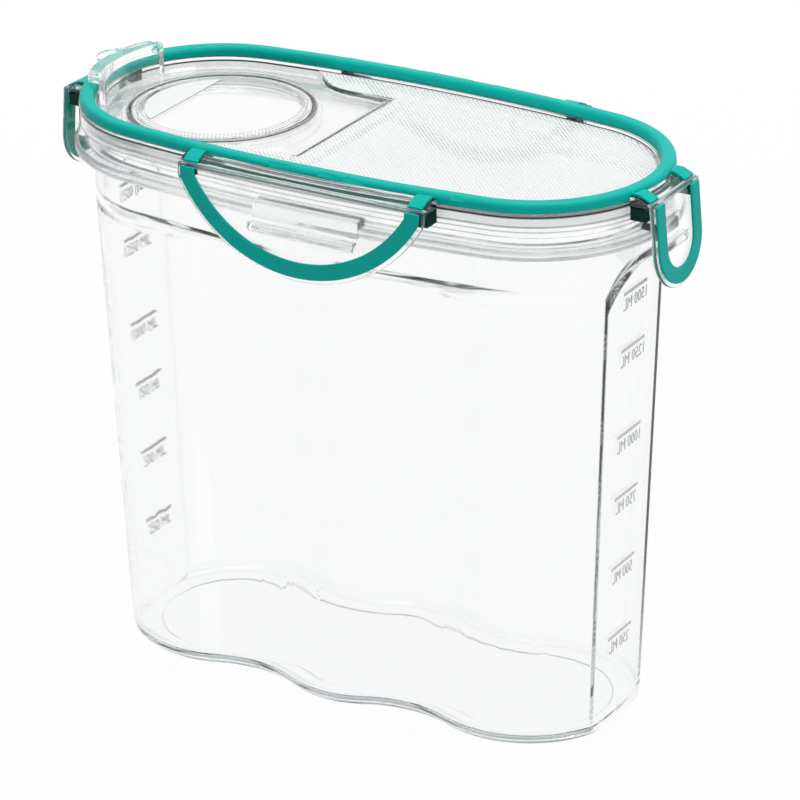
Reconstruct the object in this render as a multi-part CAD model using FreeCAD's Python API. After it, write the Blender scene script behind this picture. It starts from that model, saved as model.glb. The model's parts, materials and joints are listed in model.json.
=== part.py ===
import FreeCAD, Part
import math
import os

V = FreeCAD.Vector

# Driving dimensions in millimetres. +Z is up, the origin is the middle of the base on the table,
# +X runs along the container away from the pour flap.

# Plan of the lid's edge: an oval of two end arcs and two long side arcs
RIM_HALF_LENGTH = 97.0
RIM_HALF_WIDTH = 44.6
RIM_SIDE_BULGE = 3.6

# Container: base outline of two end arcs, a middle lobe and a flute between them on each side
BODY_HEIGHT = 172.0
SIDE_TAPER = 5.3
END_RADIUS_TAPER = 3.6
END_CENTRE_TAPER = 2.7
LOBE_RADIUS = 30.0
FLUTE_RADIUS = 35.0
WALL = 2.0
FLOOR = 2.0
FOOT_HEIGHT = 0.8
FOOT_INSET = 9.0
BASE_ROUND = 3.6
INNER_ROUND = 3.0
NECK_INSET = 3.7
FLANGE_OVERHANG = 2.0
FLANGE_HEIGHT = 3.0
FLANGE_ROUND = 0.9
RIM_ABOVE_FLANGE = 6.2
RIM_WALL = 1.7
LUG_RISE = 2.1
LUG_DEPTH = 5.0
SHOULDER_BELOW_FLANGE = 12.6
SHOULDER_SLOPE_HEIGHT = 4.8

# Flat window panel on each end of the container
PANEL_CUT = 3.6
PANEL_LEAN = 6.7
PANEL_ARCH_RADIUS = 18.5
PANEL_TOP_BELOW_FLANGE = 12.3
PANEL_LEDGE_RISE_SHARE = 0.8

# Lid shell
LID_CLEARANCE = 0.4
SKIRT_PROUD = 0.3
SKIRT_WALL = 1.6
SKIRT_DEPTH = 5.8
PLUG_WALL = 1.4
PLUG_DEPTH = 8.9
CROWN_THICKNESS = 1.8
DECK_DROP = 1.2
DECK_THICKNESS = 1.8
POCKET_DEPTH = 3.8
POCKET_WALL = 1.4

# Seal in the lid's groove
SEAL_HEIGHT = 3.0
SEAL_SIDE_GAP = 0.2
SEAL_SEAT_GAP = 0.1

# Soft ring moulded on the lid's edge
BEAD_WIDTH = 4.5
BEAD_HEIGHT = 3.0
BEAD_ROUND = 1.6
BEAD_GAP = 0.2

# Pour opening and flap
POUR_RADIUS = 29.0
POUR_FROM_END = 43.5
SPOUT_WALL = 1.5
SPOUT_DEPTH = 3.2
FLAP_THICKNESS = 1.9
FLAP_FLOOR_GAP = 0.4
FLAP_EDGE_GAP = 0.5
FLAP_HINGE_FROM_POUR = 42.9
FLAP_TAIL_HALF_WIDTH = 27.0
FLAP_NECK_FROM_HINGE = 14.4
FLAP_NECK_RADIUS = 16.0
FLAP_BARREL_RADIUS = 1.5
FLAP_PIN_RADIUS = 0.9
FLAP_PIN_LENGTH = 1.2
PIN_CLEARANCE = 0.05
FLAP_PLUG_CLEARANCE = 1.6
FLAP_PLUG_WALL = 1.6
FLAP_PLUG_FLANGE = 1.0
FLAP_PLUG_FLANGE_HEIGHT = 0.8
FLAP_SEAL_HEIGHT = 2.4
FLAP_SEAL_SIDE_GAP = 0.3
FLAP_SEAL_FIT = 0.05
PRESS_RING_OVERLAP = 0.1
PRESS_RING_WIDTH = 4.8
PRESS_RING_HEIGHT = 0.5

# Finger lip at the flap's free end
LIP_HALF_WIDTH = 16.0
LIP_WALL = 2.0
LIP_THICKNESS = 3.6
LIP_ABOVE_BEAD = 0.8
LIP_SETBACK = 2.2
LIP_TONGUE_RADIUS = 7.5
LIP_TONGUE_OVERHANG = 1.3
LIP_ROUND = 1.2

# Wing latches
LATCH_THICKNESS = 1.3
LATCH_DEPTH = 28.3
LATCH_FLARE_ANGLE = 4.5
LATCH_HINGE_OUT = 4.6
LATCH_HINGE_DROP = 1.0
LATCH_HINGE_GAP = 0.1
LONG_LATCH_HALF_WIDTH = 42.0
LONG_LATCH_CORNER_RADIUS = 5.0
LONG_LATCH_SIDE = 2.2
LONG_LATCH_SHIFT = 5.5
LONG_HOOK_HALF_WIDTH = 18.0
END_LATCH_HALF_WIDTH = 14.2
END_HOOK_HALF_WIDTH = 6.8
HOOK_CLEARANCE = 0.3
HOOK_BELOW_FLANGE = 0.6
HOOK_HEIGHT = 2.6
TRIM_BORDER = 1.3
TRIM_WIDTH = 4.8
TRIM_THICKNESS = 0.8
TRIM_HINGE_GAP = 0.1

# Tabs of the lid that carry the latches
TAB_RISE = 1.4
TAB_LIP_SHARE = 0.45
BRANCH_THICKNESS = 0.6

# Overrun of cutting tools past the surface they cut
OVERRUN = 2.0

# Places that follow from the sizes above
FLOOR_TOP = FOOT_HEIGHT + FLOOR
FLANGE_TOP = BODY_HEIGHT - RIM_ABOVE_FLANGE
FLANGE_BOTTOM = FLANGE_TOP - FLANGE_HEIGHT
SHOULDER_TOP = FLANGE_BOTTOM - SHOULDER_BELOW_FLANGE
FLUTE_TOP = SHOULDER_TOP - SHOULDER_SLOPE_HEIGHT
RIM_END_RADIUS = RIM_HALF_WIDTH - RIM_SIDE_BULGE
SIDE_RADIUS = ((RIM_HALF_LENGTH - RIM_END_RADIUS) ** 2 + RIM_HALF_WIDTH ** 2 - RIM_END_RADIUS ** 2) / (
    2 * (RIM_HALF_WIDTH - RIM_END_RADIUS))
END_CENTRE = RIM_HALF_LENGTH - RIM_END_RADIUS
NECK_HALF_WIDTH = RIM_HALF_WIDTH - NECK_INSET
NECK_END_RADIUS = RIM_END_RADIUS - NECK_INSET
BASE_MID_HALF_WIDTH = NECK_HALF_WIDTH - SIDE_TAPER
BASE_END_RADIUS = NECK_END_RADIUS - END_RADIUS_TAPER
BASE_END_CENTRE = END_CENTRE - END_CENTRE_TAPER
PANEL_BASE_X = BASE_END_CENTRE + BASE_END_RADIUS - PANEL_CUT
SKIRT_INNER = SKIRT_WALL - SKIRT_PROUD
RIM_OUTER = SKIRT_INNER + LID_CLEARANCE
RIM_INNER = RIM_OUTER + RIM_WALL
PLUG_OUTER = RIM_INNER + LID_CLEARANCE
PLUG_INNER = PLUG_OUTER + PLUG_WALL
CEILING = BODY_HEIGHT + SEAL_SEAT_GAP + SEAL_HEIGHT
CROWN_TOP = CEILING + CROWN_THICKNESS
RING_TOP = CROWN_TOP + BEAD_HEIGHT
DECK_TOP = CROWN_TOP - DECK_DROP
DECK_BOTTOM = DECK_TOP - DECK_THICKNESS
POCKET_FLOOR = DECK_TOP - POCKET_DEPTH
POCKET_BOTTOM = POCKET_FLOOR - DECK_THICKNESS
FLAP_BOTTOM = POCKET_FLOOR + FLAP_FLOOR_GAP
FLAP_TOP = FLAP_BOTTOM + FLAP_THICKNESS
FLAP_HINGE_Z = FLAP_BOTTOM + FLAP_BARREL_RADIUS
POUR_X = POUR_FROM_END - RIM_HALF_LENGTH
FLAP_HINGE_X = POUR_X + FLAP_HINGE_FROM_POUR
FLAP_NECK_X = FLAP_HINGE_X - FLAP_NECK_FROM_HINGE
FLAP_PLUG_RADIUS = POUR_RADIUS - FLAP_PLUG_CLEARANCE
PRESS_RING_OUTER = POUR_RADIUS + PRESS_RING_OVERLAP
PRESS_RING_INNER = PRESS_RING_OUTER - PRESS_RING_WIDTH
POCKET_RIGHT = FLAP_HINGE_X + FLAP_BARREL_RADIUS + FLAP_EDGE_GAP
LIP_BOTTOM = RING_TOP + LIP_ABOVE_BEAD
HINGE_Z = CROWN_TOP - LATCH_HINGE_DROP
HINGE_X = RIM_HALF_LENGTH + LATCH_HINGE_OUT
HINGE_Y = RIM_HALF_WIDTH + LATCH_HINGE_OUT
BEAD_RADIUS = LATCH_THICKNESS / 2
LONG_LATCH_CORNER_Y = LONG_LATCH_HALF_WIDTH - LONG_LATCH_CORNER_RADIUS
LONG_LATCH_ROUND_DEPTH = LATCH_DEPTH - LONG_LATCH_SIDE
LONG_LATCH_BOTTOM_RADIUS = (
    LONG_LATCH_CORNER_Y ** 2 + LONG_LATCH_ROUND_DEPTH ** 2 - LONG_LATCH_CORNER_RADIUS ** 2) / (
    2 * (LONG_LATCH_ROUND_DEPTH - LONG_LATCH_CORNER_RADIUS))


def arc(centre, radius, start, end):
    """Arc in the XY plane from one angle to another, in degrees."""
    points = []
    for angle in (start, (start + end) / 2, end):
        turn = math.radians(angle)
        points.append(V(centre[0] + radius * math.cos(turn), centre[1] + radius * math.sin(turn), 0))
    return Part.Arc(*points).toShape()


def angle_to(origin, point):
    """Direction in degrees from one plan point to another."""
    return math.degrees(math.atan2(point[1] - origin[1], point[0] - origin[0]))


def mirrored_ring(quarter):
    """Closed outline from the arcs of its +X +Y quarter, listed from the Y axis to the X axis."""
    wire = []
    for flip_x, flip_y in ((1, 1), (1, -1), (-1, -1), (-1, 1)):
        arcs = quarter if flip_x == flip_y else list(reversed(quarter))
        for centre, radius, start, end in arcs:
            first, last = (start, end) if flip_x == flip_y else (end, start)
            turned = []
            for angle in (first, last):
                x = flip_x * math.cos(math.radians(angle))
                y = flip_y * math.sin(math.radians(angle))
                turned.append(math.degrees(math.atan2(y, x)))
            sweep = (turned[1] - turned[0] + 180) % 360 - 180
            wire.append(arc((flip_x * centre[0], flip_y * centre[1]), radius, turned[0], turned[0] + sweep))
    return Part.Wire(wire)


def lifted(wire, z):
    """Copy of a plan outline at a height."""
    copy = wire.copy()
    copy.translate(V(0, 0, z))
    return copy


def oval_wire(inset, split_angle=0.0):
    """Plan outline parallel to the lid's edge, with the long side cut at an angle off the Y axis."""
    side_centre = (0, RIM_HALF_WIDTH - SIDE_RADIUS)
    end_centre = (END_CENTRE, 0)
    joint = angle_to(side_centre, end_centre)
    split = 90 - split_angle
    quarter = [(side_centre, SIDE_RADIUS - inset, 90, split)] if split_angle else []
    quarter.append((side_centre, SIDE_RADIUS - inset, split, joint))
    quarter.append((end_centre, RIM_END_RADIUS - inset, joint, 0))
    return mirrored_ring(quarter)


def oval_prism(inset, bottom, top):
    """Solid inside the outline parallel to the lid's edge."""
    return Part.Face(lifted(oval_wire(inset), bottom)).extrude(V(0, 0, top - bottom))


def oval_ring(outer_inset, inner_inset, bottom, top):
    """Wall between two outlines parallel to the lid's edge."""
    hole = oval_prism(inner_inset, bottom - OVERRUN, top + OVERRUN)
    return oval_prism(outer_inset, bottom, top).cut(hole)


def flat_edges(shape, height):
    """Edges of a shape that lie level at one height."""
    near = OVERRUN / 1000
    level = [edge for edge in shape.Edges if edge.BoundBox.ZLength < near]
    return [edge for edge in level if abs(edge.Vertexes[0].Z - height) < near]


def lobed_wire(rise, inset):
    """Fluted plan outline of the container, at a share of the way from the base to the neck."""
    end_radius = BASE_END_RADIUS + rise * END_RADIUS_TAPER
    end_centre = (BASE_END_CENTRE + rise * END_CENTRE_TAPER, 0)
    mid = BASE_MID_HALF_WIDTH + rise * SIDE_TAPER
    lobe_centre = (0, mid - LOBE_RADIUS)
    to_lobe = LOBE_RADIUS + FLUTE_RADIUS
    to_end = end_radius + FLUTE_RADIUS
    apart = math.hypot(end_centre[0], lobe_centre[1])
    along = (to_lobe ** 2 - to_end ** 2 + apart ** 2) / (2 * apart)
    aside = math.sqrt(to_lobe ** 2 - along ** 2)
    ux = end_centre[0] / apart
    uy = -lobe_centre[1] / apart
    flute_centre = (along * ux - aside * uy, lobe_centre[1] + along * uy + aside * ux)
    lobe_end = angle_to(lobe_centre, flute_centre)
    end_start = angle_to(end_centre, flute_centre)
    quarter = [(lobe_centre, LOBE_RADIUS - inset, 90, lobe_end),
               (flute_centre, FLUTE_RADIUS + inset, lobe_end - 180, end_start - 180),
               (end_centre, end_radius - inset, end_start, 0)]
    lobe_reach = LOBE_RADIUS * math.cos(math.radians(lobe_end))
    return mirrored_ring(quarter), lobe_reach


def fluted_solid(wall, bottom, rounding, top):
    """Fluted body up to the neck, its surface set in by a wall from the outside."""
    lift = wall * math.tan(math.radians(90) / 4)
    reach = FLUTE_TOP - FOOT_HEIGHT
    sections = []
    steps = 3
    for step in range(steps + 1):
        turn = math.radians(90) * step / steps
        z = bottom + rounding * (1 - math.cos(turn))
        wire = lobed_wire(max(z - FOOT_HEIGHT, 0) / reach, wall + rounding * (1 - math.sin(turn)))[0]
        sections.append(lifted(wire, z))
    wire, lobe_reach = lobed_wire(1, wall)
    sections.append(lifted(wire, FLUTE_TOP + lift))
    split = math.degrees(math.asin(lobe_reach / (SIDE_RADIUS - NECK_INSET)))
    neck = oval_wire(NECK_INSET + wall, split)
    sections.append(lifted(neck, SHOULDER_TOP + lift))
    sections.append(lifted(neck, top))
    return Part.makeLoft(sections, True, True)


def panel_cutter(wall):
    """Tool that takes the round end of the body back to the flat, leaning window panel."""
    run = FLANGE_BOTTOM
    far = RIM_HALF_LENGTH + OVERRUN
    low = -OVERRUN
    lean = PANEL_LEAN / run
    top = FLANGE_BOTTOM
    foot_x = PANEL_BASE_X - wall
    slab = Part.Face(Part.makePolygon([
        V(foot_x + lean * low, 0, low), V(far, 0, low), V(far, 0, top), V(foot_x + lean * top, 0, top),
        V(foot_x + lean * low, 0, low)])).extrude(V(0, 2 * RIM_HALF_WIDTH, 0))
    slab.translate(V(0, -RIM_HALF_WIDTH, 0))
    radius = PANEL_ARCH_RADIUS + wall
    spring = FLANGE_BOTTOM - PANEL_TOP_BELOW_FLANGE - PANEL_ARCH_RADIUS
    half = BASE_END_RADIUS
    start_x = foot_x + lean * low - OVERRUN
    run_out = far - start_x + OVERRUN
    sink = PANEL_LEDGE_RISE_SHARE * (foot_x + lean * spring - start_x)
    arch = Part.Arc(V(start_x, -radius, spring - sink), V(start_x, 0, spring + radius - sink),
                    V(start_x, radius, spring - sink)).toShape()
    sides = Part.makePolygon([
        V(start_x, radius, spring - sink), V(start_x, half, spring - sink), V(start_x, half, low - far),
        V(start_x, -half, low - far), V(start_x, -half, spring - sink), V(start_x, -radius, spring - sink)])
    tomb = Part.Face(Part.Wire([arch] + sides.Edges))
    return slab.common(tomb.extrude(V(run_out, 0, PANEL_LEDGE_RISE_SHARE * run_out)))


def both_ends(shape):
    """A shape and its half-turn about the vertical axis."""
    other = shape.copy()
    other.rotate(V(0, 0, 0), V(0, 0, 1), 180)
    return [shape, other]


def container_body():
    """Clear fluted container with its flange and the rim that the lid seals on."""
    outer = fluted_solid(0.0, 0.0, BASE_ROUND, FLANGE_TOP)
    for cutter in both_ends(panel_cutter(0.0)):
        outer = outer.cut(cutter)
    cavity = fluted_solid(WALL, FLOOR_TOP, INNER_ROUND, FLANGE_TOP + OVERRUN)
    for cutter in both_ends(panel_cutter(WALL)):
        cavity = cavity.cut(cutter)
    flange = oval_prism(-FLANGE_OVERHANG, FLANGE_BOTTOM, FLANGE_TOP)
    rounding = min(FLANGE_ROUND, FLANGE_HEIGHT / 3)
    flange = flange.makeFillet(rounding, flat_edges(flange, FLANGE_BOTTOM) + flat_edges(flange, FLANGE_TOP))
    rim = oval_ring(RIM_OUTER, RIM_INNER, FLANGE_TOP, BODY_HEIGHT)
    foot = Part.Face(lobed_wire(0, FOOT_INSET)[0]).extrude(V(0, 0, FOOT_HEIGHT))
    body = outer.fuse(flange)
    for half_width, hook, place, turned in LATCHES.values():
        body = body.fuse(place(catch_lug(hook), turned))
    return body.cut(cavity).fuse(rim).cut(foot).removeSplitter()


def catch_lug(half_width):
    """Block on the flange that a latch's hook snaps under, with the hinge line at the origin."""
    face = FLANGE_OVERHANG - LATCH_HINGE_OUT
    low = FLANGE_BOTTOM - HINGE_Z
    top = FLANGE_TOP + LUG_RISE - HINGE_Z
    inner = face - LUG_DEPTH
    return side_prism([(inner, low), (face, low), (face, top), (inner, top)], half_width)


def pocket_prism(gap, right, bottom, top):
    """Outline that the flap lies in: a straight tail, a flaring neck and the lid's rounded end."""
    half = FLAP_TAIL_HALF_WIDTH - gap
    radius = FLAP_NECK_RADIUS + gap
    diagonal = math.sqrt(0.5)
    bend = (FLAP_NECK_X - radius * diagonal, FLAP_TAIL_HALF_WIDTH + FLAP_NECK_RADIUS - radius * diagonal)
    mid_turn = math.radians(22.5)
    mid = (FLAP_NECK_X - radius * math.sin(mid_turn),
           FLAP_TAIL_HALF_WIDTH + FLAP_NECK_RADIUS - radius * math.cos(mid_turn))
    out = RIM_HALF_WIDTH - bend[1]
    corner = (bend[0] - out, RIM_HALF_WIDTH)
    edges = []
    for side in (1, -1):
        edges.append(Part.Arc(V(FLAP_NECK_X, side * half, 0), V(mid[0], side * mid[1], 0),
                              V(bend[0], side * bend[1], 0)).toShape())
        edges.extend(Part.makePolygon([V(right, side * half, 0), V(FLAP_NECK_X, side * half, 0)]).Edges)
        edges.extend(Part.makePolygon([V(bend[0], side * bend[1], 0), V(corner[0], side * corner[1], 0),
                                       V(-RIM_HALF_LENGTH, side * corner[1], 0)]).Edges)
    edges.extend(Part.makePolygon([V(right, half, 0), V(right, -half, 0)]).Edges)
    far = -RIM_HALF_LENGTH
    edges.extend(Part.makePolygon([V(far, corner[1], 0), V(far, -corner[1], 0)]).Edges)
    plan = Part.Face(Part.Wire(Part.__sortEdges__(edges)))
    plan.translate(V(0, 0, bottom))
    return plan.extrude(V(0, 0, top - bottom)).common(oval_prism(PLUG_INNER + gap, bottom, top))


def upright(radius, x, y, bottom, top):
    """Vertical cylinder."""
    return Part.makeCylinder(radius, top - bottom, V(x, y, bottom))


def hinge_rod(radius, x, z, half_length):
    """Cylinder along Y."""
    return Part.makeCylinder(radius, 2 * half_length, V(x, -half_length, z), V(0, 1, 0))


def side_prism(profile, half_width):
    """Solid from a profile in X and Z, as wide to both sides of the X axis."""
    points = [V(x, -half_width, z) for x, z in profile]
    return Part.Face(Part.makePolygon(points + points[:1])).extrude(V(0, 2 * half_width, 0))


def end_place(shape, turned):
    """Moves a latch piece from its hinge at the origin to the right or, turned, to the left end."""
    shape.translate(V(HINGE_X, 0, HINGE_Z))
    if turned:
        shape.rotate(V(0, 0, 0), V(0, 0, 1), 180)
    return shape


def side_place(shape, turned):
    """Moves a latch piece from its hinge at the origin to the back or, turned, to the front."""
    shape.rotate(V(0, 0, 0), V(0, 0, 1), 90)
    shape.translate(V(0, HINGE_Y, HINGE_Z))
    if turned:
        shape.rotate(V(0, 0, 0), V(0, 0, 1), 180)
    shape.translate(V(LONG_LATCH_SHIFT, 0, 0))
    return shape


LATCHES = {
    "front": (LONG_LATCH_HALF_WIDTH, LONG_HOOK_HALF_WIDTH, side_place, True),
    "back": (LONG_LATCH_HALF_WIDTH, LONG_HOOK_HALF_WIDTH, side_place, False),
    "left": (END_LATCH_HALF_WIDTH, END_HOOK_HALF_WIDTH, end_place, True),
    "right": (END_LATCH_HALF_WIDTH, END_HOOK_HALF_WIDTH, end_place, False),
}


def hinge_tab(half_width):
    """Sloping tab from the lid's edge to a latch's hinge, with the hinge line at the origin."""
    inner = -LATCH_HINGE_OUT - BEAD_WIDTH + BEAD_GAP
    crown_level = LATCH_HINGE_DROP
    under = LATCH_HINGE_DROP - CROWN_THICKNESS
    lip = -TAB_LIP_SHARE * BEAD_RADIUS
    bore = BEAD_RADIUS + LATCH_HINGE_GAP
    edge = -LATCH_HINGE_OUT + BEAD_GAP
    profile = [(inner, under), (-bore, under), (-bore, 0), (lip, 0), (lip, BEAD_RADIUS),
               (-BEAD_RADIUS, BEAD_RADIUS), (edge, crown_level + TAB_RISE), (inner, crown_level + TAB_RISE)]
    tab = side_prism(profile, half_width)
    return tab.cut(hinge_rod(bore, 0, 0, half_width + OVERRUN))


def tab_branches(half_width):
    """Two soft strips that run from the ring over the tab's slope to the hinge line."""
    inner = -LATCH_HINGE_OUT - BEAD_WIDTH / 2
    reach = inner - (LONG_LATCH_HALF_WIDTH + LONG_LATCH_SHIFT) ** 2 / (2 * SIDE_RADIUS)
    crown_level = LATCH_HINGE_DROP
    edge = -LATCH_HINGE_OUT + BEAD_GAP
    start = -BEAD_RADIUS - LATCH_HINGE_GAP
    fall = (crown_level + TAB_RISE - BEAD_RADIUS) / (edge + BEAD_RADIUS)
    low = BEAD_RADIUS + fall * (start + BEAD_RADIUS)
    top = crown_level + TAB_RISE + BRANCH_THICKNESS
    profile = [(start, low), (start, low + BRANCH_THICKNESS), (edge, top), (reach, top),
               (reach, crown_level + TAB_RISE), (edge, crown_level + TAB_RISE)]
    strips = []
    middle = half_width - TRIM_BORDER - TRIM_WIDTH / 2
    for side in (1, -1):
        strip = side_prism(profile, TRIM_WIDTH / 2)
        strip.translate(V(0, side * middle, 0))
        strips.append(strip)
    return strips


def lid_shell():
    """Clear lid: crown, skirt, plug wall, deck, flap pocket with its pour hole, and four hinge tabs."""
    shell = oval_prism(-SKIRT_PROUD, CROWN_TOP - SKIRT_DEPTH, CROWN_TOP)
    low = CROWN_TOP - PLUG_DEPTH - OVERRUN
    shell = shell.fuse(oval_prism(PLUG_OUTER, CROWN_TOP - PLUG_DEPTH, CROWN_TOP))
    for half_width, hook, place, turned in LATCHES.values():
        tab = place(hinge_tab(half_width), turned)
        shell = shell.fuse(tab.cut(oval_prism(-BEAD_GAP, CROWN_TOP, RING_TOP)))
    shell = shell.cut(oval_ring(SKIRT_INNER, PLUG_OUTER, low, CEILING))
    shell = shell.cut(oval_prism(PLUG_INNER, DECK_TOP, RING_TOP))
    shell = shell.cut(oval_prism(PLUG_INNER, low, DECK_BOTTOM))
    tub = pocket_prism(-POCKET_WALL, POCKET_RIGHT + POCKET_WALL, POCKET_BOTTOM, DECK_TOP)
    shell = shell.fuse(tub)
    spout_bottom = POCKET_BOTTOM - SPOUT_DEPTH
    shell = shell.fuse(upright(POUR_RADIUS + SPOUT_WALL, POUR_X, 0, spout_bottom, POCKET_FLOOR))
    shell = shell.cut(pocket_prism(0.0, POCKET_RIGHT, POCKET_FLOOR, RING_TOP))
    shell = shell.cut(upright(POUR_RADIUS, POUR_X, 0, low - SPOUT_DEPTH, RING_TOP))
    reach = FLAP_TAIL_HALF_WIDTH + FLAP_PIN_LENGTH
    shell = shell.cut(hinge_rod(FLAP_PIN_RADIUS + PIN_CLEARANCE, FLAP_HINGE_X, FLAP_HINGE_Z, reach))
    return shell.removeSplitter()


def lid_gasket():
    """Soft seal in the lid's groove, resting on the container's rim."""
    outer = SKIRT_INNER + SEAL_SIDE_GAP
    inner = PLUG_OUTER - SEAL_SIDE_GAP
    return oval_ring(outer, inner, CEILING - SEAL_HEIGHT, CEILING)


def lid_soft_rim():
    """Soft ring on the lid's edge with its strips to the latches' hinges."""
    ring = oval_ring(0.0, BEAD_WIDTH, CROWN_TOP, RING_TOP)
    rounding = min(BEAD_ROUND, BEAD_WIDTH / 3, BEAD_HEIGHT / 2)
    ring = ring.makeFillet(rounding, flat_edges(ring, RING_TOP))
    for half_width, hook, place, turned in LATCHES.values():
        for strip in tab_branches(half_width):
            ring = ring.fuse(place(strip, turned))
    return ring.removeSplitter()


def long_latch_wire(inset):
    """Wing outline in Y and Z: short straight sides, small corners and one round bottom."""
    half = LONG_LATCH_HALF_WIDTH - inset
    corner = LONG_LATCH_CORNER_RADIUS - inset
    bottom = LONG_LATCH_BOTTOM_RADIUS - inset
    bottom_z = LONG_LATCH_BOTTOM_RADIUS - LATCH_DEPTH
    lean = math.atan2(bottom_z + LONG_LATCH_SIDE, LONG_LATCH_CORNER_Y)
    if corner > 0:
        side_z = -LONG_LATCH_SIDE
        foot = (bottom * math.cos(lean), bottom_z - bottom * math.sin(lean))
    else:
        side_z = bottom_z - math.sqrt(bottom ** 2 - half ** 2)
        foot = (half, side_z)
    edges = [Part.makeLine(V(0, half, 0), V(0, -half, 0)),
             Part.Arc(V(0, *foot), V(0, 0, bottom_z - bottom), V(0, -foot[0], foot[1])).toShape()]
    for side in (1, -1):
        edges.append(Part.makeLine(V(0, side * half, 0), V(0, side * half, side_z)))
        if corner > 0:
            points = []
            for turn in (0.0, lean / 2, lean):
                y = LONG_LATCH_CORNER_Y + corner * math.cos(turn)
                points.append(V(0, side * y, side_z - corner * math.sin(turn)))
            edges.append(Part.Arc(*points).toShape())
    return Part.Wire(Part.__sortEdges__(edges))


def end_latch_wire(inset):
    """Wing outline in Y and Z: straight sides and a half-round bottom."""
    half = END_LATCH_HALF_WIDTH - inset
    turn_z = END_LATCH_HALF_WIDTH - LATCH_DEPTH
    edges = Part.makePolygon([V(0, -half, turn_z), V(0, -half, 0), V(0, half, 0), V(0, half, turn_z)]).Edges
    edges.append(Part.Arc(V(0, half, turn_z), V(0, 0, turn_z - half), V(0, -half, turn_z)).toShape())
    return Part.Wire(Part.__sortEdges__(edges))


def wing_plate(wire, start, thickness):
    """Plate of a wing outline between two distances from the hinge plane."""
    face = Part.Face(wire)
    face.translate(V(start, 0, 0))
    return face.extrude(V(thickness, 0, 0))


def flared(shape):
    """Leans a wing's plate outwards about its hinge line."""
    shape.rotate(V(0, 0, 0), V(0, 1, 0), -LATCH_FLARE_ANGLE)
    return shape


def latch_wing(wing_wire, half_width, hook_half_width):
    """Latch wing hanging from its hinge line at the origin, with the hook that snaps under the flange."""
    wing = flared(wing_plate(wing_wire(0.0), -BEAD_RADIUS, LATCH_THICKNESS))
    wing = wing.fuse(hinge_rod(BEAD_RADIUS, 0, 0, half_width))
    tip = FLANGE_OVERHANG + HOOK_CLEARANCE - LATCH_HINGE_OUT
    hook_top = FLANGE_BOTTOM - HOOK_BELOW_FLANGE - HINGE_Z
    hook_bottom = hook_top - HOOK_HEIGHT
    slope = math.tan(math.radians(LATCH_FLARE_ANGLE))
    foot = -slope * hook_bottom
    hook = side_prism([(-slope * hook_top, hook_top), (tip, hook_top), (tip, hook_top - HOOK_HEIGHT / 3),
                       (foot - BEAD_RADIUS, hook_bottom), (foot, hook_bottom)], hook_half_width)
    return wing.fuse(hook).removeSplitter()


def latch_trim(wing_wire, half_width):
    """Soft band on a wing's outer face, along its edge from hinge end to hinge end."""
    band = wing_plate(wing_wire(TRIM_BORDER), BEAD_RADIUS, TRIM_THICKNESS)
    band = band.cut(wing_plate(wing_wire(TRIM_BORDER + TRIM_WIDTH), BEAD_RADIUS - OVERRUN, 2 * OVERRUN))
    top = Part.makeBox(2 * OVERRUN, 2 * half_width, TRIM_HINGE_GAP + OVERRUN,
                       V(BEAD_RADIUS - OVERRUN, -half_width, -TRIM_HINGE_GAP))
    return flared(band.cut(top))


def pour_flap():
    """Clear flap with its hinge barrel and pins, plug, press ring and finger lip."""
    half = FLAP_TAIL_HALF_WIDTH - FLAP_EDGE_GAP
    flap = pocket_prism(FLAP_EDGE_GAP, FLAP_HINGE_X, FLAP_BOTTOM, FLAP_TOP)
    flap = flap.fuse(hinge_rod(FLAP_BARREL_RADIUS, FLAP_HINGE_X, FLAP_HINGE_Z, half))
    pin_end = FLAP_TAIL_HALF_WIDTH + FLAP_PIN_LENGTH
    flap = flap.fuse(hinge_rod(FLAP_PIN_RADIUS, FLAP_HINGE_X, FLAP_HINGE_Z, pin_end))
    ring = upright(PRESS_RING_OUTER, POUR_X, 0, FLAP_TOP, FLAP_TOP + PRESS_RING_HEIGHT)
    flap = flap.fuse(ring.cut(upright(PRESS_RING_INNER, POUR_X, 0, FLAP_TOP, RING_TOP)))
    seal_bottom = FLAP_BOTTOM - FLAP_SEAL_HEIGHT
    plug_bottom = seal_bottom - FLAP_PLUG_FLANGE_HEIGHT
    plug = upright(FLAP_PLUG_RADIUS, POUR_X, 0, plug_bottom, FLAP_BOTTOM)
    plug = plug.fuse(upright(FLAP_PLUG_RADIUS + FLAP_PLUG_FLANGE, POUR_X, 0, plug_bottom, seal_bottom))
    plug = plug.cut(upright(FLAP_PLUG_RADIUS - FLAP_PLUG_WALL, POUR_X, 0, plug_bottom, FLAP_BOTTOM))
    flap = flap.fuse(plug)
    return flap.fuse(finger_lip()).removeSplitter()


def finger_lip():
    """Upstand at the flap's free end with a lip and tongue that reach over the soft ring."""
    inset = PLUG_INNER + FLAP_EDGE_GAP
    top = LIP_BOTTOM + LIP_THICKNESS
    window = Part.makeBox(RIM_HALF_LENGTH, 2 * LIP_HALF_WIDTH, top - FLAP_BOTTOM,
                          V(-RIM_HALF_LENGTH, -LIP_HALF_WIDTH, FLAP_BOTTOM))
    lip = oval_ring(inset, inset + LIP_WALL, FLAP_BOTTOM, top).common(window)
    tongue_x = LIP_TONGUE_RADIUS - RIM_HALF_LENGTH - LIP_TONGUE_OVERHANG
    rounding = min(LIP_ROUND, LIP_THICKNESS / 3)
    inside = oval_prism(inset + LIP_WALL, LIP_BOTTOM, top)
    band = oval_prism(LIP_SETBACK, LIP_BOTTOM, top).common(window)
    tongue = upright(LIP_TONGUE_RADIUS, tongue_x, 0, LIP_BOTTOM, top)
    for piece in (band, tongue):
        piece = piece.makeFillet(rounding, flat_edges(piece, top))
        lip = lip.fuse(piece.cut(inside))
    return lip


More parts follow.
